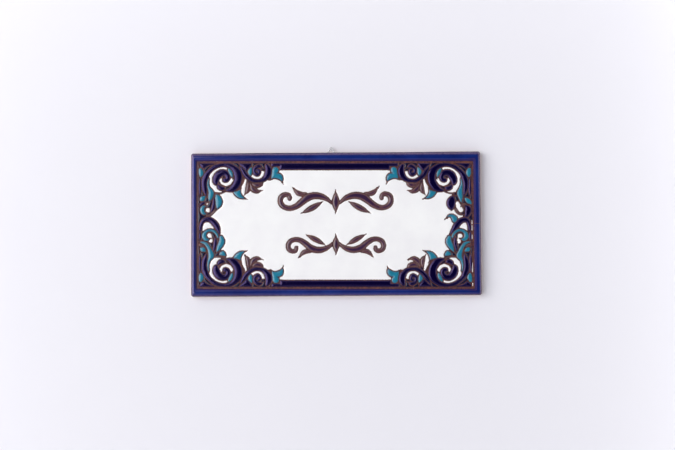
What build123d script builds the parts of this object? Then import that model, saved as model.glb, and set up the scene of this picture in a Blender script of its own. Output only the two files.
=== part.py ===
"""House name plaque: a pressed clay tile with a raised rim and scrolled corners of thick glaze, hung by a wire loop."""

import os
from math import ceil, radians, sin, sqrt, tan

from build123d import *

# Tile: upright, its back face on the plane y = 0, its front towards -Y
tile_width = 280
tile_height = 139
tile_thickness = 11
tile_corner_radius = 2
back_edge_chamfer = 1

# Raised rim round the front, and the sunk field inside it, pressed off the middle and askew: its right end is lower
rim_width_left = 5.2
rim_width_right = 6.8
rim_width_end = 7.7
rim_rise = 1.5
rim_outer_round = 3
rim_inner_round = 0.8 * rim_rise
field_drop = 1.8

# Keying grooves pressed into the back
key_count = 6
key_width = 7
key_depth = 0.8
key_margin = 18

# Glaze laid in cells that stand up from the field, drawn in units that grow with the tile's height
glaze_rise = 0.6
glaze_spread = 0.5
facet_sag = 0.18
facet_turn = 0.7
facet_probes = 60
drawing_height = 139
drawing_unit = tile_height / drawing_height
bar_inset = 10.1
bar_depth = 5.6
bar_start = 78.3
bar_shoulder = 86.3
bar_shoulder_depth = 2.4
right_nudge = 1.6

# Ornament in the middle of the field: two rows, each a pair of mirrored scrolls about a bud
upper_row_height = 21 * drawing_unit
lower_row_height = -19.5 * drawing_unit
upper_row_unit = drawing_unit
lower_row_unit = 0.86 * drawing_unit

# Hanging loop: round steel wire bent to a peak, its two legs pressed into the top edge while the clay was soft
wire_diameter = 1.2
loop_offset = -4.3
loop_setback = 3
loop_rise = 5.6
loop_peak_angle = 60
loop_peak_radius = 1.1
loop_bed_depth = 9

field_thickness = tile_thickness - rim_rise
tile_top = tile_height / 2
tile_side = tile_width / 2
towards_front = Vector(0, -1, 0)

# Corner scrollwork: stations along the middle of each stroke as (across, along, width), counted in from the corner
corner_strokes = {
    "small leaf at the rim": [(9.2, 16.1, 2.2), (9.9, 19, 3.7), (9.4, 22.9, 0)],
    "sliver at the rim": [(8.9, 24.6, 0), (8.8, 30, 1), (8.9, 36.5, 1), (9, 41.6, 0)],
    "outer band": [
        (15, 41.5, 0), (13.2, 35.5, 3), (12.5, 29.5, 3.6), (14, 23.5, 3.6), (17.6, 17.7, 3), (23.5, 13.3, 2.4),
        (30.5, 11.4, 2), (37.5, 12.2, 3), (43.6, 16.5, 5.2), (45.8, 23.5, 6.2), (43.8, 30.5, 6), (38.7, 35.1, 3.8),
        (34, 36.1, 0),
    ],
    "leaf inside the band": [(36.2, 14.9, 0), (37.8, 17.3, 2.4), (39, 20.2, 2.3), (39.9, 23, 0)],
    "inner spiral": [
        (32.8, 26.1, 3), (35.4, 25.1, 3.2), (35.2, 21.5, 3.6), (31.8, 18.9, 4.6), (27.2, 20.5, 5.6),
        (24.4, 24.9, 5.4), (24.2, 28.3, 4), (25.1, 30.6, 0),
    ],
    "bud under the spiral": [(26.6, 31.5, 1), (28, 33.3, 3.2), (30.4, 34.1, 2.8), (32.6, 33.1, 0)],
    "lower edge of the scroll": [(22.8, 38.1, 0), (25.5, 38.9, 0.4), (29.5, 38.7, 0.4), (33.2, 37.4, 0)],
    "left lobe": [(54.6, 28.5, 0), (55.2, 33, 2.4), (54.8, 36.1, 2.2), (53, 38.9, 0)],
    "middle lobe": [(57.6, 29.9, 0), (59, 33.5, 2.4), (61.6, 36.3, 2.8), (64.8, 37.1, 1.6), (67, 36.6, 0)],
    "right lobe": [(59.6, 29.3, 0), (62.8, 31.1, 2.6), (66.4, 30.6, 3), (69.2, 28.5, 0)],
    "small band": [
        (48, 13.1, 0), (51.4, 18.5, 2.6), (55.4, 23.7, 2.8), (61.5, 26.6, 1.8), (68, 26.4, 2.2), (73, 23, 4.2),
        (74.8, 18, 5.2), (73.6, 12.5, 2.8),
    ],
    "small spiral": [
        (64.6, 16.3, 2), (66.3, 18.1, 2.2), (64.4, 20.5, 2.6), (61.6, 18.3, 2.2), (62.2, 14.7, 2.4),
        (65.6, 12.6, 2.6), (68.8, 13.9, 0),
    ],
    "bud beside the small spiral": [(58.8, 13.9, 0), (57.3, 17.9, 3.1), (57.7, 21.7, 0)],
}

# Patches bounded by arcs: a start, then each arc's point on the way and its end
corner_patches = {
    "corner wedge": [(8.6, 10.2), (15, 10.1), (22.4, 10.2), (17, 11.8), (12.7, 14.6), (10, 12.8), (8.6, 10.2)],
    "wedge between the scrolls": [
        (47.2, 10.3), (52.7, 10.2), (58.4, 10.3), (56.3, 13.9), (53.6, 16.7), (50.8, 13.8), (47.2, 10.3),
    ],
    "fin": [(41.4, 37.6), (44.2, 41.9), (52, 43.7), (49, 40.2), (48, 35.2), (45.2, 36.8), (41.4, 37.6)],
    "fishtail": [
        (78.2, 24.6), (78.8, 19.5), (80, 14.7), (82.2, 13.7), (84.2, 14.9), (84.6, 17.2), (83.4, 19.5),
        (87, 20.4), (88.9, 23.2), (89, 25.4), (88.3, 27.4), (84.4, 24.9), (78.2, 24.6),
    ],
}

# Branch down the left side from the upper corner
upper_left_strokes = {
    "stem leaf": [
        (17.3, 25, 0), (16.8, 29, 0.6), (17.4, 33, 1.4), (19.7, 38, 4.2), (18.6, 42.6, 2.6), (17.4, 47, 0),
    ],
    "drop": [(9, 45.9, 0), (11, 44.2, 3.8), (13.2, 42.5, 1.2)],
    "dark leaf": [(22.4, 43.5, 0), (22, 49, 1.9), (20.8, 54.5, 1.5), (19.2, 57.7, 0)],
    "fold under the drop": [(9.1, 50.6, 1), (10.8, 49.1, 1.6), (13.4, 47.9, 0)],
    "comma": [(14.2, 51.3, 0), (11.6, 52.7, 2.6), (10.9, 55.5, 3.4), (12, 57.9, 2.6), (14.6, 58.7, 0)],
    "curl under the comma": [(15, 60.2, 0), (19.4, 59.7, 0.9), (22.8, 56.3, 0.9), (24.2, 55.2, 0)],
}
upper_left_patches = {"pod": [(24.3, 40.1), (30.3, 46.7), (25.5, 53.7), (23.8, 47), (24.3, 40.1)]}

# Branch down the right side from the upper corner, drawn fuller by the same hand
upper_right_strokes = {
    "stem leaf": [
        (17.3, 25, 0), (16.8, 28.5, 0.7), (17, 31.5, 1.3), (18.2, 36.8, 4.2), (18.4, 39.8, 4.5), (17.7, 44.3, 2.6),
        (17.2, 47.8, 0),
    ],
    "drop": [(7.4, 49.5, 0), (9.8, 47, 3.2), (12.6, 44.5, 2.4), (13.8, 43.5, 0)],
    "fold under the drop": [(12.8, 49.3, 0), (15.5, 50.1, 1.4), (18, 52.1, 0)],
    "comma": [(13.2, 51.9, 1), (11, 53.5, 4.2), (11, 56.8, 4.6), (11.8, 59.8, 3), (13.9, 60.9, 0)],
    "curl under the comma": [(15, 59.5, 0), (19, 58.9, 1.6), (22.2, 55.7, 1.8), (23.8, 53.7, 0)],
    "leaf under the pod": [(24.2, 67.2, 0), (23.9, 63.9, 4.6), (26.6, 61, 2.8), (31, 62.4, 0)],
}
upper_right_patches = {"pod": [(24.8, 41.7), (30.9, 48.8), (26.8, 54.9), (23.3, 48.5), (24.8, 41.7)]}

# Branch up the left side from the lower corner
lower_left_strokes = {
    "stem leaf": [
        (9, 52.9, 0), (12.5, 52.1, 1.4), (15.8, 49.9, 2.2), (18, 45, 2.8), (19.8, 39.9, 4.2), (17.6, 34.9, 1.6),
        (16.8, 29, 0.6), (17.3, 25, 0),
    ],
    "arch": [
        (9.4, 64.5, 1.2), (9.9, 69.5, 2.2), (12.6, 74, 3), (18, 74.5, 3.4), (23.4, 70.4, 4.4), (26.4, 65.1, 2.8),
        (27.6, 60.5, 0),
    ],
    "hook": [
        (26.2, 56.9, 0), (23.2, 62.4, 1.8), (18, 64.3, 1.8), (13.8, 61.9, 2.6), (12.8, 58.3, 3.6), (15.1, 55.6, 2.4),
        (18, 56.1, 0),
    ],
    "dark leaf": [(23.8, 57.5, 0), (23.4, 53.5, 2), (22.8, 48.5, 1.7), (21.8, 44.1, 0)],
    "pod": [(29.4, 57.3, 2.6), (29.8, 53.5, 4.9), (27.9, 48.7, 3.9), (24.6, 43.1, 0)],
    "drop": [(9, 47.1, 0), (11.4, 45.7, 3.8), (13.6, 44.3, 1)],
    "sliver beside the hook": [(9, 62.4, 0), (8.9, 58.7, 1.1), (8.9, 54.9, 0)],
    "fold over the drop": [(9.1, 50.1, 1), (11.3, 49.5, 1), (13.4, 48, 0)],
}
lower_patches = {
    "small leaf": [(27.5, 40.5), (28.6, 43), (31.1, 44.4), (33.1, 42.4), (33.6, 39.9), (30.6, 39.9), (27.5, 40.5)],
}

# Branch up the right side from the lower corner: the same but for a narrower arch
lower_right_strokes = {
    **lower_left_strokes,
    "arch": [
        (9.6, 64.5, 1.2), (9.9, 69.5, 2.2), (12, 73.8, 3), (15.8, 74.2, 3.4), (20, 71.2, 4.2), (25.1, 65.2, 2.2),
        (28, 60.6, 0),
    ],
}

# Half of one row of the middle ornament, counted out from the middle and up from the row's line
row_strokes = {
    "scroll": [
        (4, -1, 0), (12, 5, 3.4), (23.5, 6, 5), (34.5, -1, 4.4), (44.5, -5.5, 3), (52.6, -1.4, 3.2), (52, 6, 3),
        (46.4, 7.6, 2.4), (44.4, 3.8, 2),
    ],
    "leaf below": [(14.5, -0.5, 0), (21.5, -4.6, 3.4), (31, -9.5, 0)],
    "leaf above": [(29, 8.6, 0), (34.6, 8.4, 2.8), (40, 13, 0)],
}
row_bud = [(0, 9, 0), (0, 1.5, 4.6), (0, -8, 0)]


def drop_at(x):
    """How far the askew field, and all that is drawn on it, sits below true at this distance from the middle."""
    return field_drop * (x + tile_side) / tile_width


def from_corner(side, end):
    """Reads drawing points in from one corner of the tile: side is -1 left or 1 right, end is 1 upper or -1 lower."""
    nudge = right_nudge if side > 0 else 0

    def place(across, along):
        x = side * (tile_side - (across + nudge) * drawing_unit)
        z = end * (tile_top - along * drawing_unit) - drop_at(x)
        return Vector(x, -field_thickness, z)

    return place


def from_row(side, height, unit, flip):
    """Reads drawing points out from the middle of one row of the central ornament."""

    def place(out, up):
        return Vector(side * out * unit, -field_thickness, height + flip * up * unit)

    return place


def headings(middle):
    """The direction of travel at each station, taken from the circle through it and its two neighbours."""
    steps = [b - a for a, b in zip(middle, middle[1:])]
    inner = [
        back.normalized() * ahead.length + ahead.normalized() * back.length
        for back, ahead in zip(steps, steps[1:])
    ]
    inner = [heading.normalized() for heading in inner]
    first = steps[0].normalized()
    last = steps[-1].normalized()
    start = first * (2 * first.dot(inner[0])) - inner[0]
    finish = last * (2 * last.dot(inner[-1])) - inner[-1]
    return [start, *inner, finish]


def faceted(edges):
    """The cell inside these edges with flat facets for walls, shorter where an edge curves more tightly."""
    corners = []
    for edge in edges:
        spots = [edge @ (i / facet_probes) for i in range(facet_probes + 1)]
        ways = [edge % (i / facet_probes) for i in range(facet_probes + 1)]
        need = [0]
        for spot, after, way, turned in zip(spots, spots[1:], ways, ways[1:]):
            turn = radians(way.get_angle(turned))
            by_sag = sqrt(turn * (after - spot).length / (8 * facet_sag))
            need.append(need[-1] + max(by_sag, turn / facet_turn))
        count = max(1, ceil(need[-1]))
        for k in range(count):
            corners.append(next(spot for spot, so_far in zip(spots, need) if so_far >= need[-1] * k / count))
    return Face(Wire.make_polygon(corners))


def stroke(place, stations, unit):
    """A stroke of the glazer's bulb, swelling and thinning along its middle, with pointed or rounded ends."""
    middle = [place(a, b) for a, b, _ in stations]
    halves = [(width + glaze_spread) * unit / 2 if width else 0 for _, _, width in stations]
    ways = headings(middle)
    sideways = [way.cross(towards_front) for way in ways]
    left = [m + s * h for m, s, h in zip(middle, sideways, halves)]
    right = [m - s * h for m, s, h in zip(middle, sideways, halves)]
    edges = [Spline(*left)]
    if halves[-1] > 0:
        edges.append(ThreePointArc(left[-1], middle[-1] + ways[-1] * halves[-1], right[-1]))
    edges.append(Spline(*reversed(right)))
    if halves[0] > 0:
        edges.append(ThreePointArc(right[0], middle[0] - ways[0] * halves[0], left[0]))
    return faceted(edges)


def patch(place, points):
    """A patch of glaze bounded by arcs that run from corner to corner of its outline."""
    spots = [place(a, b) for a, b in points]
    return faceted([ThreePointArc(*spots[i:i + 3]) for i in range(0, len(spots) - 2, 2)])


def bar(end):
    """The dark bar along one long edge, stepped back at each end to pass behind the fishtails."""
    left = from_corner(-1, end)
    right = from_corner(1, end)
    outline = [
        (bar_start, bar_inset),
        (bar_start, bar_inset + bar_shoulder_depth),
        (bar_shoulder, bar_inset + bar_shoulder_depth),
        (bar_shoulder, bar_inset + bar_depth),
    ]
    return Face(Wire.make_polygon([left(*p) for p in outline] + [right(*p) for p in reversed(outline)]))


def corner_cells(side, end, branch_strokes, branch_patches):
    """All the glaze cells of one corner cluster with the branch that runs from it along the side."""
    place = from_corner(side, end)
    strokes = [*corner_strokes.values(), *branch_strokes.values()]
    patches = [*corner_patches.values(), *branch_patches.values()]
    return [stroke(place, s, drawing_unit) for s in strokes] + [patch(place, p) for p in patches]


def row_cells(height, unit, flip):
    """One row of the middle ornament: mirrored scrolls and leaves with a bud between them."""
    cells = [stroke(from_row(1, height, unit, flip), row_bud, unit)]
    for side in (-1, 1):
        place = from_row(side, height, unit, flip)
        cells += [stroke(place, s, unit) for s in row_strokes.values()]
    return cells


def sunk_field():
    """The room pressed out of the slab in front of the field, four-sided and askew."""
    left = rim_width_left - tile_side
    right = tile_side - rim_width_right
    field_end = tile_top - rim_width_end
    corners = [
        Vector(x, -field_thickness, end * field_end - drop_at(x))
        for x, end in ((left, -1), (right, -1), (right, 1), (left, 1))
    ]
    return extrude(Face(Wire.make_polygon(corners)), rim_rise, dir=towards_front)


def blank_tile():
    """The pressed clay: a slab with rounded corners, a raised rim round a sunk field, and a keyed back."""
    slab = Box(tile_width, tile_thickness, tile_height).moved(Location((0, -tile_thickness / 2, 0)))
    slab = fillet(slab.edges().filter_by(Axis.Y), tile_corner_radius)
    slab = fillet(slab.faces().sort_by(Axis.Y)[0].edges(), rim_outer_round)
    slab = chamfer(slab.faces().sort_by(Axis.Y)[-1].edges(), back_edge_chamfer)
    slab -= sunk_field()
    crest = slab.faces().sort_by(Axis.Y)[0]
    slab = fillet(crest.inner_wires()[0].edges(), rim_inner_round)
    key_length = tile_width - 2 * key_margin
    key_pitch = (tile_height - 2 * key_margin) / key_count
    key = Plane.XZ * SlotOverall(key_length, key_width)
    grooves = [
        extrude(key, key_depth, dir=towards_front).moved(Location((0, 0, key_pitch * (i - (key_count - 1) / 2))))
        for i in range(key_count)
    ]
    return slab - grooves


def hanging_loop():
    """The bent wire: up out of the top edge, round the peak above the tile, and down into the clay again."""
    half_angle = radians(loop_peak_angle / 2)
    peak = tile_top + loop_rise - wire_diameter / 2 + loop_peak_radius * (1 / sin(half_angle) - 1)
    foot = tile_top - loop_bed_depth
    spread = (peak - foot) * tan(half_angle)
    points = [
        (loop_offset - spread, -loop_setback, foot),
        (loop_offset, -loop_setback, peak),
        (loop_offset + spread, -loop_setback, foot),
    ]
    path = FilletPolyline(*points, radius=loop_peak_radius)
    return sweep(Plane(origin=path @ 0, z_dir=path % 0) * Circle(wire_diameter / 2), path=path)


wire = hanging_loop()
cells = [bar(1), bar(-1)]
cells += corner_cells(-1, 1, upper_left_strokes, upper_left_patches)
cells += corner_cells(1, 1, upper_right_strokes, upper_right_patches)
cells += corner_cells(-1, -1, lower_left_strokes, lower_patches)
cells += corner_cells(1, -1, lower_right_strokes, lower_patches)
cells += row_cells(upper_row_height, upper_row_unit, 1)
cells += row_cells(lower_row_height, lower_row_unit, -1)
glaze = [extrude(cell, glaze_rise, dir=towards_front) for cell in cells]
tile = blank_tile() - wire
tile = tile + glaze

os.makedirs("parts", exist_ok=True)
export_step(tile, "parts/tile.step")
export_step(wire, "parts/hanging_loop.step")
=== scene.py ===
"""House name plaque: a pressed clay tile drawn in dry lines, flooded with thick glaze and hung by a wire."""

import math

import bpy
import numpy as np
from mathutils import Matrix, Vector, kdtree, noise
from mathutils.geometry import delaunay_2d_cdt


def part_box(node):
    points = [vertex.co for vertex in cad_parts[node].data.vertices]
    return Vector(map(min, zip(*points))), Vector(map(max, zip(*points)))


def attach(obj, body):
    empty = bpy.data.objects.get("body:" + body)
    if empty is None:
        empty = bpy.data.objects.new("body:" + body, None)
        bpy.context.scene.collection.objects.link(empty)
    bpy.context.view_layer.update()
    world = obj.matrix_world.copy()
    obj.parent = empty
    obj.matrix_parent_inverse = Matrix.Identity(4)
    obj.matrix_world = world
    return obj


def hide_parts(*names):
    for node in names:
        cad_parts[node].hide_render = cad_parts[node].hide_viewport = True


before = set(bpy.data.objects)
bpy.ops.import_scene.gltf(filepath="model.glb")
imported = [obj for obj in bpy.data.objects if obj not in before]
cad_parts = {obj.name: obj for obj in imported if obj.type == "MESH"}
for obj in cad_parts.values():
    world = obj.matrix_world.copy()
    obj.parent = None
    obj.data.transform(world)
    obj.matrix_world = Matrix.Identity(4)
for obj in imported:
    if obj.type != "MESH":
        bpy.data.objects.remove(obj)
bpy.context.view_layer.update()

# Back of the tile: bare fired clay as it left the press, with its keying grooves. It is the tile's own
# solid, cut where the glaze stops short of the back.
glaze_stop = -0.0018
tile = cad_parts["tile"]


def pigment(red, green, blue):
    """A colour as it is read off a picture, 0 to 255, in Blender's linear values."""
    linear = []
    for c in (red, green, blue):
        linear.append(((c / 255 + 0.055) / 1.055) ** 2.4 if c > 10 else c / 255 / 12.92)
    return linear + [1.0]


def new_finish(name):
    """A new finish and its shader."""
    made = bpy.data.materials.new(name)
    made.use_nodes = True
    return made.node_tree, made.node_tree.nodes["Principled BSDF"], made


def node(tree, kind, inputs, **settings):
    """One node of a finish. Its inputs are values, or the outputs of other nodes."""
    made = tree.nodes.new("ShaderNode" + kind)
    for name, value in settings.items():
        setattr(made, name, value)
    for name, value in inputs.items():
        if isinstance(value, bpy.types.NodeSocket):
            tree.links.new(value, made.inputs[name])
        else:
            made.inputs[name].default_value = value
    return made


def speckle(tree, scale, detail=3.0, roughness=0.55, offset=(0, 0, 0)):
    """Cloudy noise through the piece, with so many clouds to the metre."""
    place = node(tree, "TexCoord", {}).outputs["Object"]
    shifted = node(tree, "VectorMath", {0: place, 1: offset}).outputs[0]
    inputs = {"Vector": shifted, "Scale": scale, "Detail": detail, "Roughness": roughness}
    return node(tree, "TexNoise", inputs).outputs["Fac"]


def ramp(tree, factor, stops):
    """Colours that pass into each other at the given places from 0 to 1."""
    made = node(tree, "ValToRGB", {"Fac": factor})
    elements = made.color_ramp.elements
    while len(elements) < len(stops):
        elements.new(1.0)
    for element, (position, colour) in zip(elements, stops):
        element.position = position
        element.color = pigment(*colour)
    return made.outputs["Color"]


def stretch(tree, value, low, high, start=0.0, end=1.0):
    """A value moved from one range to another, eased at both ends and held there."""
    inputs = {"Value": value, "From Min": low, "From Max": high, "To Min": start, "To Max": end}
    return node(tree, "MapRange", inputs, interpolation_type="SMOOTHSTEP").outputs["Result"]


def mix(tree, factor, a, b):
    """Two colours mixed, the second by the factor's share."""
    return node(tree, "Mix", {0: factor, 6: a, 7: b}, data_type="RGBA").outputs[2]


def calculate(tree, operation, *values):
    """One step of arithmetic on values."""
    return node(tree, "Math", dict(enumerate(values)), operation=operation).outputs[0]


def bump(tree, relief, strength, distance):
    """Fine relief."""
    inputs = {"Height": relief, "Strength": strength, "Distance": distance}
    return node(tree, "Bump", inputs).outputs["Normal"]


tree, shader, bare_clay = new_finish("bare_clay")
clay_colours = [(0.3, (178, 122, 90)), (0.5, (200, 147, 112)), (0.72, (216, 172, 138))]
clay_tone = ramp(tree, speckle(tree, 70, 5), clay_colours)
fire_mark = stretch(tree, speckle(tree, 16, 4, offset=(3, 1, 0)), 0.58, 0.74, 0, 0.4)
clay_tone = mix(tree, fire_mark, clay_tone, pigment(146, 98, 76))
grit = speckle(tree, 1500, 2)
clay_tone = mix(tree, stretch(tree, grit, 0.62, 0.7, 0, 0.5), clay_tone, pigment(112, 80, 66))
tree.links.new(clay_tone, shader.inputs["Base Color"])
tree.links.new(stretch(tree, grit, 0.3, 0.7, 0.78, 0.95), shader.inputs["Roughness"])
tree.links.new(bump(tree, speckle(tree, 700, 6, 0.7), 0.5, 0.0003), shader.inputs["Normal"])

clay_back = bpy.data.objects.new("clay_back", tile.data.copy())
bpy.context.collection.objects.link(clay_back)
bpy.ops.object.select_all(action="DESELECT")
bpy.context.view_layer.objects.active = clay_back
clay_back.select_set(True)
bpy.ops.mesh.customdata_custom_splitnormals_clear()
bpy.ops.object.mode_set(mode="EDIT")
bpy.ops.mesh.select_all(action="SELECT")
bpy.ops.mesh.remove_doubles(threshold=1e-6)
bpy.ops.mesh.bisect(plane_co=(0, glaze_stop, 0), plane_no=(0, 1, 0), use_fill=True, clear_inner=True)
bpy.ops.object.mode_set(mode="OBJECT")
bpy.ops.object.shade_smooth_by_angle(angle=math.radians(30))
clay_back.data.materials.clear()
clay_back.data.materials.append(bare_clay)
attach(clay_back, "root")
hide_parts("tile")

# Rim: a raised roll of clay round the sunk field, dipped in blue glaze that breaks brown where it thins on
# the edges. It is lofted between the tile's edge and the foot of the roll, which was pressed a little askew.
rim_low, rim_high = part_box("tile")
crest = rim_low.y
field_plane = -0.0095
field_drop = 0.0018
rim_width_left = 0.0052
rim_width_right = 0.0068
rim_width_end = 0.0077
tile_corner = 0.002
foot_corner = 0.0012
inner_slope = 0.25
inner_dip = 0.00008
crest_end = 0.47
outer_slope = 0.53
outer_round = 0.003
inner_steps = 7
outer_steps = 10
side_steps = 5
edge_sway = 0.00025
sways_per_metre = 22
crest_sag = 0.00012
sags_per_metre = 40
crack_height = -0.0005
crack_wander = 0.0012
run_steps = (92, 46, 92, 46)
corner_steps = 6


def drop_at(x):
    """How far the askew field sits below true at this distance from the middle."""
    return field_drop * (x - rim_low.x) / (rim_high.x - rim_low.x)


def round_path(corners, radius):
    """Points round a four-sided outline with rounded corners, as many for one outline as for another."""
    path = []
    for i, corner in enumerate(corners):
        into = (corner - corners[i - 1]).normalized()
        onward = (corners[(i + 1) % 4] - corner).normalized()
        centre = corner - into * radius + onward * radius
        for k in range(corner_steps + 1):
            turn = math.pi / 2 * k / corner_steps
            path.append(centre + into * (radius * math.sin(turn)) - onward * (radius * math.cos(turn)))
        start = corner + onward * radius
        end = corners[(i + 1) % 4] - onward * radius
        for k in range(1, run_steps[i]):
            path.append(start.lerp(end, k / run_steps[i]))
    return path


outer_corners = [
    Vector((rim_low.x, rim_low.z)),
    Vector((rim_high.x, rim_low.z)),
    Vector((rim_high.x, rim_high.z)),
    Vector((rim_low.x, rim_high.z)),
]
foot_corners = []
for corner in outer_corners:
    x = corner.x + rim_width_left if corner.x < 0 else corner.x - rim_width_right
    z = corner.y - math.copysign(rim_width_end, corner.y) - drop_at(x)
    foot_corners.append(Vector((x, z)))
outer_path = round_path(outer_corners, tile_corner)
foot_path = round_path(foot_corners, foot_corner)

# The roll's profile runs from the foot up its inner slope, over the crest and down the outer side, as (share of
# the rim's width, y)
profile = []
for k in range(inner_steps + 1):
    turn = math.pi / 2 * k / inner_steps
    climb = (crest + inner_dip - field_plane) * math.sin(turn)
    profile.append((inner_slope * (1 - math.cos(turn)), field_plane + climb))
profile += [(0.33, crest + 0.00003), (0.4, crest), (crest_end, crest)]
for k in range(1, outer_steps + 1):
    turn = math.pi / 2 * k / outer_steps
    fall = outer_round * (1 - math.cos(turn))
    profile.append((crest_end + outer_slope * math.sin(turn), crest + fall))
side_height = glaze_stop - crest - outer_round
for k in range(1, side_steps + 1):
    profile.append((1.0, crest + outer_round + side_height * k / side_steps))

rim_points = []
rim_across = []
for outer, foot in zip(outer_path, foot_path):
    sway = noise.noise(Vector((outer.x * sways_per_metre, 4.7, outer.y * sways_per_metre))) * 0.5 + 0.5
    sag = noise.noise(Vector((outer.x * sags_per_metre, 9.1, outer.y * sags_per_metre))) * 0.5 + 0.5
    outward = (outer - foot).normalized()
    for across, y in profile:
        down_side = max((y - crest - outer_round) / side_height, 0.0) if across == 1.0 else 0.0
        spot = foot.lerp(outer, across) - outward * edge_sway * sway * across * (1 - down_side)
        rim_points.append((spot.x, y + crest_sag * sag * math.sin(math.pi * across), spot.y))
        rim_across.append(across + down_side)
stations = len(outer_path)
rows = len(profile)
rim_faces = []
for s in range(stations):
    here = s * rows
    following = (s + 1) % stations * rows
    for r in range(rows - 1):
        rim_faces.append((here + r, here + r + 1, following + r + 1, following + r))
rim_mesh = bpy.data.meshes.new("rim")
rim_mesh.from_pydata(rim_points, [], rim_faces)
rim_mesh.attributes.new("across", "FLOAT", "POINT").data.foreach_set("value", rim_across)
glazed_tile = bpy.data.objects.new("glazed_tile", rim_mesh)
bpy.context.collection.objects.link(glazed_tile)


def laid_on(tree, name):
    """A value that was laid on the points of the mesh."""
    return node(tree, "Attribute", {}, attribute_name=name).outputs["Fac"]


def unsettled(tree, value, scale, detail, amount):
    """A value that wanders by this much in all, with so many clouds to the metre."""
    wander = calculate(tree, "MULTIPLY_ADD", speckle(tree, scale, detail), amount, -amount / 2)
    return calculate(tree, "ADD", value, wander)


def place_on(tree):
    """The three coordinates of a place on the piece."""
    return node(tree, "SeparateXYZ", {"Vector": node(tree, "TexCoord", {}).outputs["Object"]}).outputs


# Over the roll counts from 0 at its foot to 1 at the outer side, and on to 2 where the glaze stops
tree, shader, rim_glaze = new_finish("rim_glaze")
over_roll = unsettled(tree, laid_on(tree, "across"), 260, 4, 0.08)
place = place_on(tree)
cloud = speckle(tree, 45, 4, offset=(0, 5, 2))
blue = ramp(tree, cloud, [(0.3, (10, 27, 92)), (0.5, (15, 35, 105)), (0.72, (25, 47, 119))])
thin_reach = stretch(tree, place["X"], 0.124, 0.134, 0.24, 0.55)
thin_at_foot = stretch(tree, over_roll, 0.1, thin_reach, 0.9, 0)
blue = mix(tree, thin_at_foot, blue, pigment(44, 30, 84))
# The glaze's brown break reaches a little further in along the top edge than along the other sides
top_edge_break = calculate(tree, "ADD", over_roll, stretch(tree, place["Z"], 0.058, 0.066, 0, 0.1))
breaking = ramp(tree, calculate(tree, "MULTIPLY", top_edge_break, 0.5), [
    (0.0, (190, 190, 190)), (0.015, (0, 0, 0)), (0.34, (0, 0, 0)), (0.43, (180, 180, 180)),
    (0.475, (225, 225, 225)), (0.54, (120, 120, 120)), (0.86, (60, 60, 60)), (0.93, (255, 255, 255)),
])
edge_brown = ramp(tree, speckle(tree, 400, 4), [(0.35, (70, 46, 62)), (0.65, (104, 78, 92))])
rim_tone = mix(tree, breaking, blue, edge_brown)
bare_edge = stretch(tree, over_roll, 1.86, 1.95)
rim_tone = mix(tree, bare_edge, rim_tone, pigment(196, 144, 110))
crack_foot = crack_height - crack_wander / 2
crack_line = calculate(tree, "MULTIPLY_ADD", speckle(tree, 900, 2), crack_wander, crack_foot)
from_crack = calculate(tree, "ABSOLUTE", calculate(tree, "SUBTRACT", place["Z"], crack_line))
crack = stretch(tree, from_crack, 0.0002, 0.0005, 0.85, 0)
on_the_right = calculate(tree, "GREATER_THAN", place["X"], 0)
rim_tone = mix(tree, calculate(tree, "MULTIPLY", crack, on_the_right), rim_tone, pigment(92, 66, 60))
tree.links.new(rim_tone, shader.inputs["Base Color"])
dull_foot = stretch(tree, over_roll, 0.14, 0.36, 0.6, 0.12)
dull_clay = stretch(tree, bare_edge, 0, 1, 0.12, 0.85)
tree.links.new(calculate(tree, "MAXIMUM", dull_foot, dull_clay), shader.inputs["Roughness"])
tree.links.new(stretch(tree, over_roll, 0.14, 0.36, 0.12, 0.5), shader.inputs["Specular IOR Level"])
tree.links.new(bump(tree, speckle(tree, 160, 2), 0.12, 0.0006), shader.inputs["Normal"])
shader.inputs["Specular Tint"].default_value = pigment(255, 232, 255)
rim_mesh.materials.append(rim_glaze)

# Field: the clay inside the rim, with the scrollwork drawn on it in dry brown lines. Each cell between the
# lines is flooded with coloured glaze, and the ground round them with white, so both stand up from the line
# with rounded edges. The cells' outlines are read from the solid, and their facets rounded off.
cell_top = -0.0101
cell_edge_rise = 0.0006
cell_edge_roll = 0.0013
cell_crown_rise = 0.0003
cell_crown_roll = 0.0034
ground_rise = 0.00042
ground_roll = 0.0011
glaze_ripple = 0.15
ripples_per_metre = 60
line_width = 0.00082
thin_line_width = 0.00015
frame_line_width = 0.0019
outline_step = 0.0005
kept_corner = math.radians(50)
sharp_tip = math.radians(100)
tip_length = 0.0028
narrowest_white = 0.001
flow_reach = 0.0026
sliver_line = rim_high.x - 0.0087
sliver_width = 0.0008
slivers = [(0.0024, -0.0007), (-0.0025, -0.0068), (-0.0117, -0.015), (-0.0385, -0.047), (-0.058, -0.0605)]
right_nudge = 0.0016


def cell_outlines(mesh):
    """The outline of every cell's top in the solid, as loops of (x, z) that run the same way round."""
    edges = {}
    for face in mesh.polygons:
        corners = [mesh.vertices[v].co for v in face.vertices]
        if any(abs(corner.y - cell_top) >= 1e-5 for corner in corners):
            continue
        places = [(round(corner.x, 6), round(corner.z, 6)) for corner in corners]
        for a, b in zip(places, places[1:] + places[:1]):
            if (b, a) in edges:
                del edges[b, a]
            else:
                edges[a, b] = True
    follows = dict(edges.keys())
    loops = []
    while follows:
        start, here = follows.popitem()
        loop = [start]
        while here != start:
            loop.append(here)
            here = follows.pop(here)
        loops.append([Vector(spot) for spot in loop])
    return loops


def circle_way(before, here, after):
    """The direction of travel at a point, from the circle through it and its two neighbours."""
    back = here - before
    ahead = after - here
    return (back.normalized() * ahead.length + ahead.normalized() * back.length).normalized()


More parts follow.
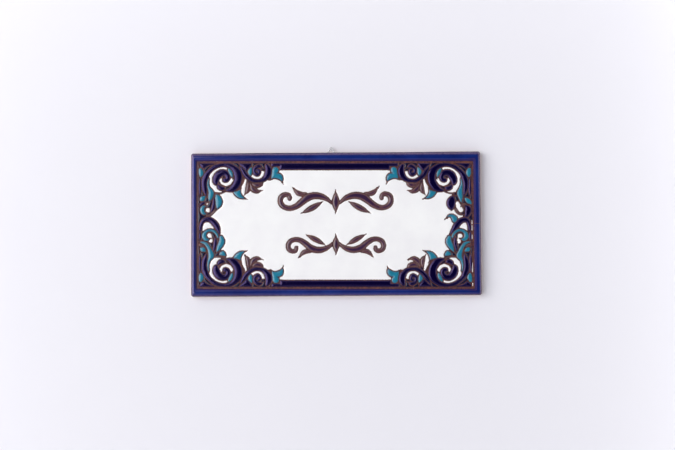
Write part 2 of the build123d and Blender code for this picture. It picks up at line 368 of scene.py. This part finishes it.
def rounded_off(loop):
    """A faceted outline as a smooth one, true corners kept, and its sharp tips as (place, direction)."""
    count = len(loop)
    tips = []
    turns = []
    for i, here in enumerate(loop):
        back = (here - loop[i - 1]).normalized()
        ahead = (loop[(i + 1) % count] - here).normalized()
        turns.append(back.angle(ahead, 0.0))
        if turns[-1] > sharp_tip:
            tips.append((here, (back - ahead).normalized()))
    smooth = [circle_way(loop[i - 1], loop[i], loop[(i + 1) % count]) for i in range(count)]
    line = []
    for i, here in enumerate(loop):
        after = loop[(i + 1) % count]
        chord = after - here
        along = chord.normalized()
        way_out = None if turns[i] > kept_corner else smooth[i]
        way_in = None if turns[(i + 1) % count] > kept_corner else smooth[(i + 1) % count]
        if way_out is None and way_in is None:
            way_out = way_in = along
        elif way_out is None:
            way_out = along * (2 * along.dot(way_in)) - way_in
        elif way_in is None:
            way_in = along * (2 * along.dot(way_out)) - way_out
        pieces = max(1, round(chord.length / outline_step))
        for k in range(pieces):
            t = k / pieces
            line.append(
                here * (2 * t ** 3 - 3 * t ** 2 + 1)
                + after * (3 * t ** 2 - 2 * t ** 3)
                + way_out * (chord.length * (t ** 3 - 2 * t ** 2 + t))
                + way_in * (chord.length * (t ** 3 - t ** 2))
            )
    return line, tips


def split_runs(path, shares):
    """Points of a closed path, at these shares of the way from each of its points to the next."""
    return [a.lerp(b, share) for a, b in zip(path, path[1:] + path[:1]) for share in shares]


def beside(line, distance):
    """Points beside a closed line, to its right as it runs."""
    points = np.array(line)
    ahead = np.roll(points, -1, axis=0) - np.roll(points, 1, axis=0)
    ahead /= np.maximum(np.linalg.norm(ahead, axis=1), 1e-9)[:, None]
    return points + distance * np.stack([ahead[:, 1], -ahead[:, 0]], axis=1)


def tree_of(points):
    """A search tree over points of the field."""
    made = kdtree.KDTree(len(points))
    for i, (x, z) in enumerate(points):
        made.insert((x, z, 0), i)
    made.balance()
    return made


lines = []
tips_of_cell = []
for loop in cell_outlines(tile.data):
    line, sharp = rounded_off(loop)
    lines.append(line)
    tips_of_cell.append(sharp)
near_frame = tree_of(split_runs(foot_path, (0, 0.33, 0.67)))
cell_of_point = [i for i, line in enumerate(lines) for spot in line]

# Each cell's glaze flows out to within a line's width of its neighbours and of the frame
near_cell = tree_of([spot for line in lines for spot in line])
for i, line in enumerate(lines):
    flow = []
    for x, z in line:
        room = near_frame.find((x, z, 0))[2] - frame_line_width + line_width
        for _, point, distance in near_cell.find_range((x, z, 0), flow_reach):
            if cell_of_point[point] != i:
                room = min(room, distance)
        flow.append(min(max(0.0, room - line_width) / 2, max(0.0, flow_reach - room)))
    smooth_flow = np.mean([np.roll(flow, k) for k in range(-4, 5)], axis=0)
    lines[i] = [Vector(spot) for spot in beside(line, smooth_flow[:, None])]
line_points = [spot for line in lines for spot in line]
near_cell = tree_of(line_points)

# Colour of each cell, by a point inside it counted in from the corner as (inward, along), in millimetres
ground_slot, navy_slot, turquoise_slot, purple_slot, brown_slot = range(5)
turquoise = [(10, 18.7), (38.4, 16.9), (57.6, 17.9), (46, 40), (82, 20)]
purple = [(55.2, 33), (61.6, 36.3), (66.4, 30.6)]
brown = [(27.5, 38.9)]
lower_turquoise = [(19.8, 39.9), (12.8, 58.3), (29.8, 53.5), (11.4, 45.7), (30.1, 41.8)]
upper_left_turquoise = [(19.7, 38), (11, 44.2), (10.9, 55.5), (27, 47)]
upper_right_turquoise = [(18.2, 39.8), (9.8, 47), (24.4, 62.9)]
painted = {
    (-1, 1): (turquoise + upper_left_turquoise, purple, brown + [(19.4, 59.7)]),
    (1, 1): (turquoise + upper_right_turquoise, purple, brown + [(15.4, 50.5), (19, 58.9)]),
    (-1, -1): (turquoise + lower_turquoise, purple + [(11.4, 49.9)], brown),
    (1, -1): (turquoise + lower_turquoise, purple + [(11.4, 49.9)], brown),
}
middle_width = 0.062
middle_height = 0.04
paint = []
for line in lines:
    middle = sum(line, Vector((0, 0))) / len(line)
    in_middle = abs(middle.x) < middle_width and abs(middle.y) < middle_height
    paint.append(purple_slot if in_middle else navy_slot)


def from_corner(corner, inward, along):
    """A place on the field counted in from one of its corners, in millimetres."""
    side, end = corner
    x = side * (rim_high.x - inward / 1000 - (right_nudge if side > 0 else 0))
    return x, end * (rim_high.z - along / 1000) - drop_at(x)


for corner, cells in painted.items():
    for slot, places in zip((turquoise_slot, purple_slot, brown_slot), cells):
        for inward, along in places:
            point = near_cell.find((*from_corner(corner, inward, along), 0))[1]
            paint[cell_of_point[point]] = slot

# Brown cells have a thin line round them, and all others a bold one, which runs on past their tips
bold_cells = [cell for cell in range(len(lines)) if paint[cell] != brown_slot]
fine_cells = [cell for cell in range(len(lines)) if paint[cell] == brown_slot]
near_bold = tree_of([spot for cell in bold_cells for spot in lines[cell]])
near_fine = tree_of([spot for cell in fine_cells for spot in lines[cell]])
tips = [tip for cell in bold_cells for tip in tips_of_cell[cell]]

# Points of the field's mesh lie in rows beside every line, tip and sliver, close together where the glaze rolls
# off, with an even fill between them that is coarser in the open white
line_rows = (-0.0003, -0.00075, line_width / 2, line_width, line_width + 0.00025, line_width + 0.0007)
frame_rows = (-0.0011, -frame_line_width, -frame_line_width - 0.0003, -frame_line_width - 0.0008)
tip_step = 0.0004
sliver_step = 0.0003
fill_step = 0.0009
open_step = 3
open_room = 0.003
end_margin = 0.0005
side_margin = 0.0009
taken = set()
extra = []


def keep(spot, spacing, clear_of_cells, clear_of_frame):
    """Adds a point to the field's mesh, unless another is as near as this or it lies too near a line."""
    key = (round(spot[0] / spacing), round(spot[1] / spacing))
    if key in taken:
        return
    if near_cell.find((spot[0], spot[1], 0))[2] < clear_of_cells:
        return
    if near_frame.find((spot[0], spot[1], 0))[2] < clear_of_frame:
        return
    taken.add(key)
    extra.append((spot[0], spot[1]))


for line in lines:
    for distance in line_rows:
        for spot in beside(line, distance):
            keep(spot, 0.0004, abs(distance) * 0.93, 0.0004)
for distance in frame_rows:
    for spot in beside(split_runs(foot_path, (0, 0.25, 0.5, 0.75)), distance):
        keep(spot, 0.0005, 0.0003, abs(distance) * 0.9)
for tip, way in tips:
    for step in np.arange(tip_step, tip_length + 2 * tip_step, tip_step):
        half_width = line_width * max(0.0, 1 - step / tip_length)
        for side in (-1, 1):
            for margin in (0.0, 0.00025):
                spot = tip + way * step + Vector((-way.y, way.x)) * side * (half_width + margin)
                keep(spot, 0.0003, 0.0004, 0.0004)
for top, bottom in slivers:
    for z in np.arange(bottom, top, sliver_step):
        for aside in (0, sliver_step, -sliver_step, 2 * sliver_step, -2 * sliver_step):
            keep((sliver_line + aside, z), 0.0003, 0.0003, 0.0004)
row_heights = np.arange(foot_corners[1].y, foot_corners[3].y, fill_step * math.sqrt(3) / 2)
column_places = np.arange(foot_corners[0].x, foot_corners[1].x, fill_step)
for row, z in enumerate(row_heights):
    for column, column_x in enumerate(column_places):
        x = column_x + (row % 2) * fill_step / 2
        if min(x - foot_corners[0].x, foot_corners[1].x - x) < side_margin:
            continue
        top = rim_high.z - rim_width_end - drop_at(x)
        bottom = rim_low.z + rim_width_end - drop_at(x)
        if min(top - z, z - bottom) < end_margin:
            continue
        room = min(near_cell.find((x, z, 0))[2], near_frame.find((x, z, 0))[2] - 0.001)
        if room > open_room and (row % open_step or column % open_step):
            continue
        keep((x, z), 0.0006, 0.00045, 0.0005)

coordinates = [tuple(spot) for spot in foot_path + line_points] + extra
outlines = [list(range(len(foot_path)))]
first = len(foot_path)
for line in lines:
    outlines.append(list(range(first, first + len(line))))
    first += len(line)
millimetres = [Vector((x * 1000, z * 1000)) for x, z in coordinates]
spots, _, triangles, _, _, owners = delaunay_2d_cdt(millimetres, [], outlines, 1, 1e-5)
spots = np.array([(v.x, v.y) for v in spots]) / 1000
in_a_cell = np.zeros(len(spots), bool)
in_the_ground = np.zeros(len(spots), bool)
cell_of_face = []
for triangle, owner in zip(triangles, owners):
    cell = max(owner) - 1
    cell_of_face.append(cell)
    for v in triangle:
        if cell >= 0:
            in_a_cell[v] = True
        else:
            in_the_ground[v] = True


def distance_to(points):
    """The distance from each spot of the field to the nearest point of a search tree."""
    return np.array([points.find((x, z, 0))[2] for x, z in spots])


# From line is how far a spot is clear of the dry lines, for the white, and in gap the same for the dark glaze
# that fills the gaps among the scrolls. Both are below 0 where their glaze stays away.
no_white = -0.0005
no_dark = -0.001
to_frame = distance_to(near_frame)
depth = np.where(in_a_cell & ~in_the_ground, distance_to(near_cell), 0.0)
from_line = np.minimum(distance_to(near_bold) - line_width, distance_to(near_fine) - thin_line_width)
from_line = np.where(in_a_cell, -line_width, from_line)
for tip, way in tips:
    ahead = (spots - np.array(tip)) @ np.array(way)
    aside = np.abs((spots - np.array(tip)) @ np.array((-way.y, way.x)))
    beside_spike = aside - line_width * (1 - ahead / tip_length)
    past_spike = np.hypot(ahead - tip_length, aside)
    from_spike = np.where(ahead < tip_length, beside_spike, past_spike)
    from_line = np.where(ahead > 0, np.minimum(from_line, from_spike), from_line)
from_line = np.minimum(from_line, to_frame - frame_line_width)
in_gap = np.where(in_a_cell, no_dark, from_line)
wide_enough = from_line >= narrowest_white / 2
near_wide = tree_of(spots[wide_enough])
for v in np.flatnonzero((from_line > 0) & ~wide_enough):
    if near_wide.find((*spots[v], 0))[2] > narrowest_white / 2 + 0.0003:
        from_line[v] = no_white

# White is flooded only over the middle and into these gaps among the scrolls. Each pool runs through points of
# (inward, along, half width) counted in from a corner, and starts to fill in the middle.
hook = [
    (28.3, 23.4, 0.9), (28.9, 26, 1.6), (31, 28.6, 1.9), (34.2, 29.9, 2),
    (37.2, 28.8, 1.9), (39.6, 26, 1.5), (41.8, 22, 0.9),
]
in_small_scroll = [(61.5, 25, 4.6), (65.5, 24, 5), (69, 22, 4.6)]
every_corner = [hook, [(22.5, 30, 30)], in_small_scroll, [(51, 34, 30)]]
middle_pool = [(139, 69, 200)]
flooded = {
    (-1, 1): [middle_pool] + every_corner + [[(16.7, 49.6, 1.5)], [(16.6, 55.2, 2.1)]],
    (1, 1): every_corner + [[(20.9, 48.6, 1.7), (20, 51.4, 2.3), (17.6, 55.3, 2.2)], [(19.7, 63.2, 2)]],
    (-1, -1): every_corner + [[(16, 67.5, 9)], [(17.9, 59.4, 2.1), (19.2, 56.8, 1.1), (19.2, 54.2, 1.8)]],
    (1, -1): every_corner + [[(16, 67.5, 9)], [(18.8, 58.7, 2.3), (20.2, 56.2, 1.1), (19.9, 53.4, 1.9)]],
}
pool_overrun = 0.001


def inside_pool(corner, pool):
    """How far each spot of the field is inside the edge of a pool."""
    inside = np.full(len(spots), -1.0)
    for (*a, a_half), (*b, b_half) in zip(pool, pool[1:] + pool[-1:]):
        start = np.array(from_corner(corner, *a))
        run = np.array(from_corner(corner, *b)) - start
        share = np.clip((spots - start) @ run / max(run @ run, 1e-12), 0, 1)
        away = np.linalg.norm(spots - start - share[:, None] * run, axis=1)
        inside = np.maximum(inside, (a_half + (b_half - a_half) * share) / 1000 - away)
    return inside


# Broad strokes of the dry line close off the foot of each fishtail, the white beside each fin, and the upper
# right pod
fishtail_foot = [(74.9, 25.4, 0.9), (78.6, 25, 0.8)]
beside_fin = [(51.2, 19, 2), (50.6, 25, 1.9), (49.3, 29, 1.5), (47.6, 32.5, 1.1), (47, 35, 0.8)]
pod_top = [(22.4, 41.5, 0.9), (25.4, 40.4, 0.8)]
pod_foot = [(23.4, 52.8, 0.9), (26, 54.4, 0.8)]
for corner in flooded:
    for broad_line in [fishtail_foot, beside_fin] + ([pod_top, pod_foot] if corner == (1, 1) else []):
        outside = -inside_pool(corner, broad_line)
        from_line = np.minimum(from_line, outside)
        in_gap = np.minimum(in_gap, outside)

beside_spot = [[] for _ in spots]
for triangle, cell in zip(triangles, cell_of_face):
    if cell < 0:
        for v in triangle:
            beside_spot[v] += triangle
clear_spots = np.flatnonzero(from_line > 0)
near_clear = tree_of(spots[clear_spots])
white_spots = np.zeros(len(spots), bool)
for corner, pools in flooded.items():
    for pool in pools:
        within = inside_pool(corner, pool)
        inward, along, _ = pool[len(pool) // 2]
        spreading = [clear_spots[near_clear.find((*from_corner(corner, inward, along), 0))[1]]]
        while spreading:
            v = spreading.pop()
            if not white_spots[v] and within[v] > -pool_overrun:
                white_spots[v] = True
                from_line[v] = min(from_line[v], within[v])
                spreading += [w for w in beside_spot[v] if from_line[w] > 0]
from_line = np.where(white_spots, from_line, np.minimum(from_line, no_white))
in_gap = np.where(white_spots, no_dark, in_gap)

# Slivers of light glaze stand beside the right frame line
for top, bottom in slivers:
    past_end = np.maximum(0, np.maximum(spots[:, 1] - top, bottom - spots[:, 1]))
    from_sliver = np.hypot(spots[:, 0] - sliver_line, past_end)
    from_line = np.where(in_a_cell, from_line, np.maximum(from_line, sliver_width / 2 - from_sliver))
    in_gap = np.minimum(in_gap, from_sliver - sliver_width)


def rolled(distance, roll):
    """The height of a rounded edge of glaze, from 0 at its line to 1 where it levels out."""
    return np.sqrt(1 - (1 - np.clip(distance / roll, 0, 1)) ** 2)


edge_height = cell_edge_rise * rolled(depth, cell_edge_roll)
crown_height = cell_crown_rise * rolled(depth, cell_crown_roll)
ground_height = ground_rise * rolled(np.maximum(from_line, in_gap), ground_roll)
ripple = np.array([noise.noise(Vector((x * ripples_per_metre, 0, z * ripples_per_metre))) for x, z in spots])
glaze_height = np.where(in_a_cell, edge_height + crown_height, ground_height) * (1 + glaze_ripple * ripple)

field_mesh = bpy.data.meshes.new("field")
field_points = [(x, field_plane - rise, z) for (x, z), rise in zip(spots, glaze_height)]
field_mesh.from_pydata(field_points, [], triangles)
laid_values = {"in_cell": depth, "from_line": from_line, "in_gap": in_gap, "from_frame": to_frame}
for name, values in laid_values.items():
    field_mesh.attributes.new(name, "FLOAT", "POINT").data.foreach_set("value", values * 1000)
field = bpy.data.objects.new("field", field_mesh)
bpy.context.collection.objects.link(field)

tree, shader, ground = new_finish("white_ground")
clear_of_line = unsettled(tree, laid_on(tree, "from_line"), 600, 3, 0.5)
white_tone = ramp(tree, speckle(tree, 40, 4), [(0.3, (243, 241, 244)), (0.7, (250, 249, 250))])
bleed = stretch(tree, clear_of_line, 0.05, 0.8, 0.5, 0)
white_tone = mix(tree, bleed, white_tone, pigment(216, 190, 184))
grain = speckle(tree, 500, 4, offset=(1, 2, 3))
from_frame = laid_on(tree, "from_frame")
in_frame_line = stretch(tree, calculate(tree, "MULTIPLY_ADD", grain, 0.8, from_frame), 2.0, 2.8, 1, 0)
dry_tone = ramp(tree, grain, [(0.35, (48, 18, 26)), (0.65, (80, 36, 40))])
frame_line_tone = ramp(tree, grain, [(0.35, (60, 28, 36)), (0.65, (94, 50, 54))])
dry_tone = mix(tree, in_frame_line, dry_tone, frame_line_tone)
rust = stretch(tree, speckle(tree, 210, 3, offset=(4, 0, 2)), 0.5, 0.66, 0, 0.55)
dry_tone = mix(tree, rust, dry_tone, pigment(116, 66, 50))
# Painted shade: beside the left rim only, the dry line is darkened to navy where the rim's inner slope faces
# away from the light
by_the_rim = stretch(tree, from_frame, 0.3, 1.1, 0.85, 0)
on_the_left = stretch(tree, place_on(tree)["X"], -0.132, -0.128, 1, 0)
painted_rim_foot_shade = calculate(tree, "MULTIPLY", by_the_rim, on_the_left)
dry_tone = mix(tree, painted_rim_foot_shade, dry_tone, pigment(34, 28, 66))
dark_gap = calculate(tree, "MULTIPLY_ADD", grain, 0.3, laid_on(tree, "in_gap"))
dark_gap = stretch(tree, dark_gap, 0.1, 0.4)
dry_tone = mix(tree, dark_gap, dry_tone, pigment(6, 4, 46))
white_share = stretch(tree, clear_of_line, -0.1, 0.16)
tree.links.new(mix(tree, white_share, dry_tone, white_tone), shader.inputs["Base Color"])
glazed = calculate(tree, "MAXIMUM", white_share, dark_gap)
tree.links.new(stretch(tree, glazed, 0.2, 1, 0.5, 0.14), shader.inputs["Roughness"])
tree.links.new(stretch(tree, white_share, 0.2, 1, 0.3, 0.5), shader.inputs["Specular IOR Level"])
tree.links.new(bump(tree, speckle(tree, 90, 2), 0.1, 0.001), shader.inputs["Normal"])


def coloured_glaze(name, thin, body, pooled, sheen=(255, 255, 255)):
    """A glossy glaze of one colour where it thins at a cell's edge and another where it pools in the middle."""
    tree, shader, made = new_finish(name)
    from_edge = unsettled(tree, laid_on(tree, "in_cell"), 320, 4, 0.4)
    colours = [(0.0, thin), (0.07, body), (0.3, body), (0.75, pooled)]
    tone = ramp(tree, calculate(tree, "MULTIPLY", from_edge, 0.5), colours)
    tree.links.new(tone, shader.inputs["Base Color"])
    shader.inputs["Specular Tint"].default_value = pigment(*sheen)
    tree.links.new(stretch(tree, from_edge, 0, 0.4, 0.4, 0.14), shader.inputs["Roughness"])
    tree.links.new(bump(tree, speckle(tree, 220, 2), 0.1, 0.0005), shader.inputs["Normal"])
    return made


navy_sheen = (206, 178, 255)
field_mesh.materials.append(ground)
field_mesh.materials.append(coloured_glaze("navy_glaze", (24, 16, 46), (8, 2, 48), (5, 1, 42), navy_sheen))
field_mesh.materials.append(coloured_glaze("turquoise_glaze", (54, 58, 76), (32, 104, 132), (30, 122, 150)))
field_mesh.materials.append(coloured_glaze("purple_glaze", (100, 60, 56), (92, 56, 62), (54, 31, 62)))
field_mesh.materials.append(coloured_glaze("brown_glaze", (76, 46, 54), (88, 54, 58), (96, 60, 62)))
slot_of_face = [ground_slot if cell < 0 else paint[cell] for cell in cell_of_face]
field_mesh.polygons.foreach_set("material_index", slot_of_face)

bpy.ops.object.select_all(action="DESELECT")
field.select_set(True)
glazed_tile.select_set(True)
bpy.context.view_layer.objects.active = glazed_tile
bpy.ops.object.join()
bpy.ops.object.mode_set(mode="EDIT")
bpy.ops.mesh.select_all(action="SELECT")
bpy.ops.mesh.remove_doubles(threshold=2e-6)
bpy.ops.mesh.select_all(action="DESELECT")
bpy.ops.mesh.select_non_manifold()
bpy.ops.mesh.edge_face_add()
bpy.ops.mesh.select_all(action="SELECT")
bpy.ops.mesh.normals_make_consistent(inside=False)
bpy.ops.object.mode_set(mode="OBJECT")
bpy.ops.object.shade_smooth_by_angle(angle=math.radians(60))
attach(glazed_tile, "root")
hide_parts("tile")

# Hanging loop: plain drawn wire bent to a peak, dulled by the firing, with its ends bedded in the clay of the
# top edge. The solid is already its whole shape, so it only takes a finish.
tree, shader, dull_wire = new_finish("dull_wire")
fire_scale = speckle(tree, 900, 4)
wire_tone = ramp(tree, fire_scale, [(0.35, (160, 158, 160)), (0.65, (202, 202, 206))])
tree.links.new(wire_tone, shader.inputs["Base Color"])
tree.links.new(stretch(tree, fire_scale, 0.3, 0.7, 0.3, 0.6), shader.inputs["Roughness"])
shader.inputs["Metallic"].default_value = 1.0
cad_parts["hanging_loop"].material_slots[0].material = dull_wire


# Wall and floor: plain and pale. The wall shows only from its front, so that the back of the tile can be
# looked at, and it throws no light back on the glaze.
def seen_directly(tree):
    """1 where the camera itself looks, and 0 in reflections and shadows."""
    return node(tree, "LightPath", {}).outputs["Is Camera Ray"]


bpy.ops.mesh.primitive_plane_add(size=8, location=(0, 0.0004, 0), rotation=(math.pi / 2, 0, 0))
wall = bpy.context.object
wall.name = "wall"
tree, shader, wall_paint = new_finish("wall_paint")
shader.inputs["Base Color"].default_value = pigment(235, 233, 240)
shader.inputs["Roughness"].default_value = 0.9
shader.inputs["Specular IOR Level"].default_value = 0.0
facing = calculate(tree, "SUBTRACT", 1.0, node(tree, "NewGeometry", {}).outputs["Backfacing"])
solid = calculate(tree, "MULTIPLY", seen_directly(tree), facing)
see_through = node(tree, "BsdfTransparent", {}).outputs[0]
wall_surface = node(tree, "MixShader", {0: solid, 1: see_through, 2: shader.outputs[0]}).outputs[0]
tree.links.new(wall_surface, tree.nodes["Material Output"].inputs["Surface"])
wall.data.materials.append(wall_paint)

bpy.ops.mesh.primitive_plane_add(size=30, location=(0, 0, -1.3))
floor = bpy.context.object
floor.name = "floor"
tree, shader, floor_paint = new_finish("floor_paint")
floor_tone = ramp(tree, speckle(tree, 3), [(0.3, (232, 231, 233)), (0.7, (238, 237, 239))])
tree.links.new(floor_tone, shader.inputs["Base Color"])
tree.links.new(floor_tone, shader.inputs["Emission Color"])
floor_glow = calculate(tree, "MULTIPLY", seen_directly(tree), 0.34)
tree.links.new(floor_glow, shader.inputs["Emission Strength"])
shader.inputs["Roughness"].default_value = 0.9
floor.data.materials.append(floor_paint)

# Light: a broad soft box to the left of the camera, a strip on each of the four sides by the wall, and boards
# to the left, to the right and above that only show in the gloss of the glaze. A lamp behind lights the back.
# The room is dim behind the camera, so the dark glazes stay deep.
for name, position, lean, lamp_width, lamp_height, watts in (
    ("soft_box", (-1.8, -2.35, 0.3), -13, 2.95, 2.2, 77),
    ("left_strip", (-0.44, -0.06, 0), 0, 0.1, 1.4, 0.2),
    ("right_strip", (0.45, -0.07, 0), 0, 0.1, 1.4, 0.8),
    ("upper_strip", (0, -0.12, 0.38), 0, 1.3, 0.1, 0.36),
    ("lower_strip", (0, -0.12, -0.38), 0, 1.3, 0.1, 0.06),
    ("left_sheen", (-0.52, -0.3, 0), 0, 0.55, 0.9, 4.2),
    ("right_sheen", (0.5, -0.12, 0), 0, 0.25, 1.2, 1.3),
    ("upper_sheen", (0, -0.2, 0.45), 0, 1.3, 0.3, 1.6),
    ("behind", (-1.4, 2.0, 0.9), 0, 1.4, 1.4, 50),
):
    bpy.ops.object.light_add(type="AREA", location=position)
    lamp = bpy.context.object
    lamp.name = name
    aimed = (-Vector(position)).to_track_quat("-Z", "Y").to_matrix()
    lamp.rotation_euler = (aimed @ Matrix.Rotation(math.radians(lean), 3, "Z")).to_euler()
    lamp.data.shape = "RECTANGLE"
    lamp.data.size = lamp_width
    lamp.data.size_y = lamp_height
    lamp.data.energy = watts
    lamp.visible_camera = False
    lamp.visible_glossy = name != "behind"
    lamp.visible_diffuse = not name.endswith("sheen")

world = bpy.data.worlds.new("room")
bpy.context.scene.world = world
world.use_nodes = True
tree = world.node_tree
sky = tree.nodes["Background"]
direction = node(tree, "SeparateXYZ", {"Vector": node(tree, "TexCoord", {}).outputs["Generated"]}).outputs
room_light = stretch(tree, direction["Y"], -0.92, -0.7, 0.03, 0.36)
sky_strength = node(tree, "Mix", {0: seen_directly(tree), 2: room_light, 3: 0.86}).outputs[0]
tree.links.new(sky_strength, sky.inputs["Strength"])
sky.inputs["Color"].default_value = (0.96, 1.0, 1.03, 1.0)

# Camera: close to square on, a little below the middle, as the photograph was taken.
aim = Vector((0.0015, 0, -0.0005))
camera_distance = 1.3
azimuth = math.radians(0.508)
elevation = math.radians(-3.261)
tilt = math.radians(-0.3705)
back = Vector((
    math.sin(azimuth) * math.cos(elevation),
    -math.cos(azimuth) * math.cos(elevation),
    math.sin(elevation),
))
level = Vector((math.cos(azimuth), math.sin(azimuth), 0))
upright = back.cross(level)
bpy.ops.object.camera_add(location=aim + back * camera_distance)
camera = bpy.context.object
right = level * math.cos(tilt) + upright * math.sin(tilt)
up = upright * math.cos(tilt) - level * math.sin(tilt)
camera.rotation_euler = Matrix((right, up, back)).transposed().to_euler()
camera.data.sensor_width = 36
camera.data.lens = 71.32
bpy.context.scene.camera = camera
bpy.context.scene.view_settings.view_transform = "Standard"
